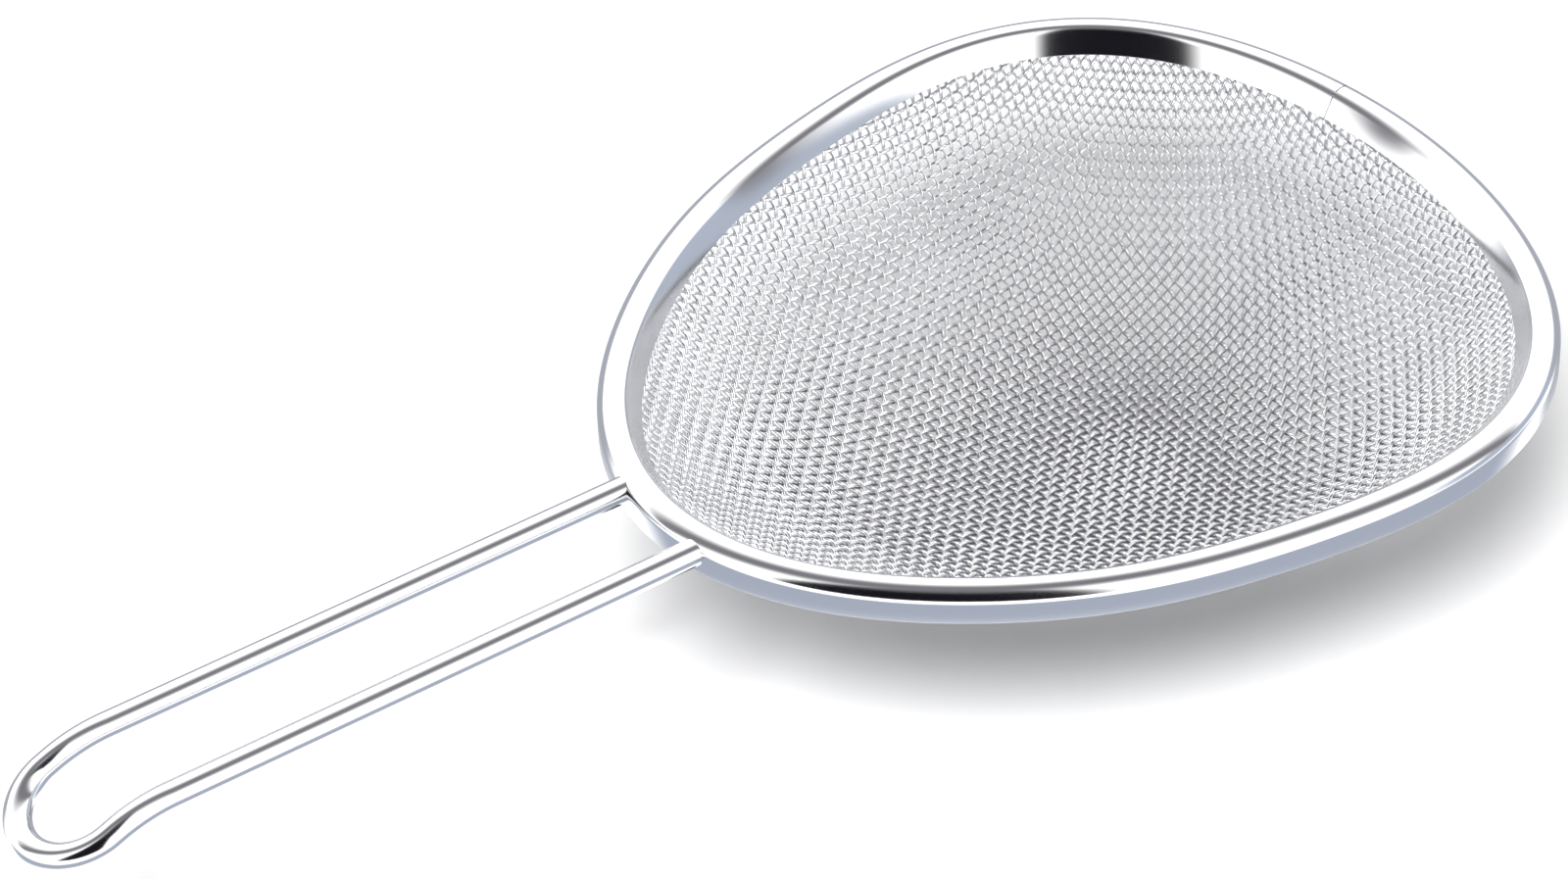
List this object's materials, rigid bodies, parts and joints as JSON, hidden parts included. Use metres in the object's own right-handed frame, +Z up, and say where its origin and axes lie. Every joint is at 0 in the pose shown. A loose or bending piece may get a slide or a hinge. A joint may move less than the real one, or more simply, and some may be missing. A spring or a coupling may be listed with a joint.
{
  "type": "tea strainer",
  "caption": "Tea strainer with a woven wire bowl in a soft-cornered folded steel rim and a two-rail handle bent from one wire, drooped at its end.",
  "frame": {"origin": "on the resting surface, under the middle of the bounding box; the bottom of the bowl rests on the surface", "axes": "+Z up, square to the rim's plane; -X towards the handle's free end; Y across the handle"},
  "size_m": [0.152, 0.0788, 0.0263],
  "materials": {
    "polished_steel": "mirror polished stainless steel",
    "wire_cloth": "bright drawn stainless wire, woven"
  },
  "bodies": {
    "root": {"rim_band": "polished_steel", "rim_core_wire": "polished_steel", "handle_wire": "polished_steel", "mesh_basket": "wire_cloth"}
  },
  "joints": []
}
